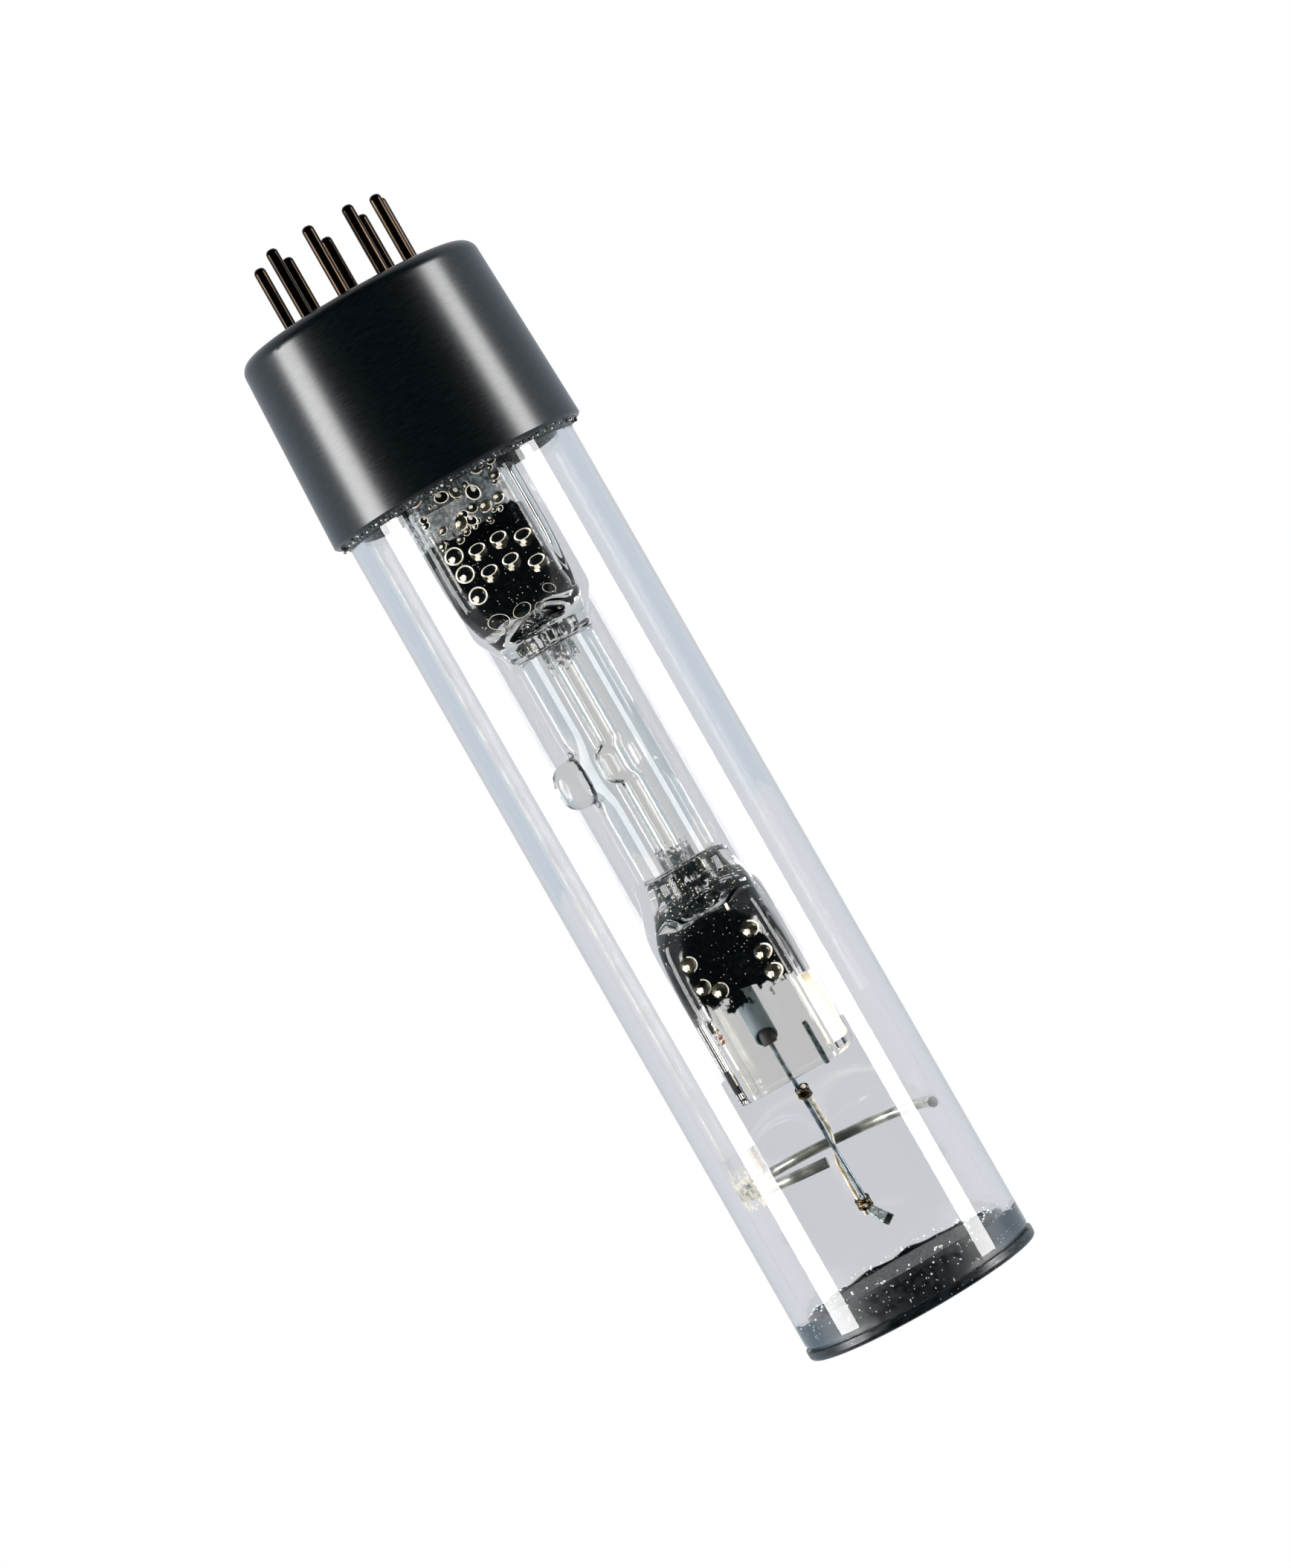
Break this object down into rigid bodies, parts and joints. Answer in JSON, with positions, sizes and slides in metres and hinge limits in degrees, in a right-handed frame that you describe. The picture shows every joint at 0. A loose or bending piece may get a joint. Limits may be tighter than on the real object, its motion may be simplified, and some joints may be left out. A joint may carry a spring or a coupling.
{
  "type": "spectral lamp",
  "caption": "Discharge lamp: a capillary glass burner with a chamber at each end, in a clear glass tube with a black end disc and a turned black base with contact pins.",
  "frame": {"origin": "centre of the end disc's flat underside, where the lamp's axis meets the surface that it stands on", "axes": "+Z along the lamp's axis from the end disc towards the contact pins, +X to the right when the burner's sealed-off tip is seen at the left, +Y away from that viewer"},
  "size_m": [0.0228, 0.0226, 0.0989],
  "materials": {
    "tube_glass": "polished",
    "disc_black": "satin",
    "compound_black": "gloss, lumpy",
    "base_black": "turned, black anodised",
    "carrier_black": "moulded",
    "cement_grey": "crumbly",
    "ceramic": "matt ceramic",
    "burner_glass": "polished, smoked in places",
    "cup_dark": "blackened, glossy",
    "bead_glass": "polished",
    "sleeve_metal": "satin",
    "tungsten": "matt",
    "lead_metal": "drawn wire",
    "rod_metal": "drawn wire",
    "clip_metal": "rolled strip",
    "getter_metal": "drawn tube",
    "ring_steel": "drawn wire",
    "return_metal": "drawn wire",
    "crimp_metal": "heat stained",
    "pin_metal": "tarnished nickel plate"
  },
  "bodies": {
    "root": {"outer_tube": "tube_glass", "end_disc": "disc_black", "end_compound": "compound_black", "base_shell": "base_black", "pin_carrier": "carrier_black", "tube_cement": "cement_grey", "burner_holder": "ceramic", "burner": "burner_glass", "upper_cup": "cup_dark", "lower_cup": "cup_dark", "upper_bead": "bead_glass", "lower_bead": "bead_glass", "upper_sleeve": "sleeve_metal", "lower_sleeve": "sleeve_metal", "upper_electrode": "tungsten", "lower_electrode": "tungsten", "upper_lead": "lead_metal", "lower_lead": "lead_metal", "support_rod": "rod_metal", "upper_clip": "clip_metal", "lower_clip": "clip_metal", "getter_tube": "getter_metal", "support_ring": "ring_steel", "return_lead": "return_metal", "return_crimp": "crimp_metal", "contact_pin_1": "pin_metal", "contact_pin_2": "pin_metal", "contact_pin_3": "pin_metal", "contact_pin_4": "pin_metal", "contact_pin_5": "pin_metal", "contact_pin_6": "pin_metal", "contact_pin_7": "pin_metal", "contact_pin_8": "pin_metal", "contact_pin_9": "pin_metal"}
  },
  "joints": []
}
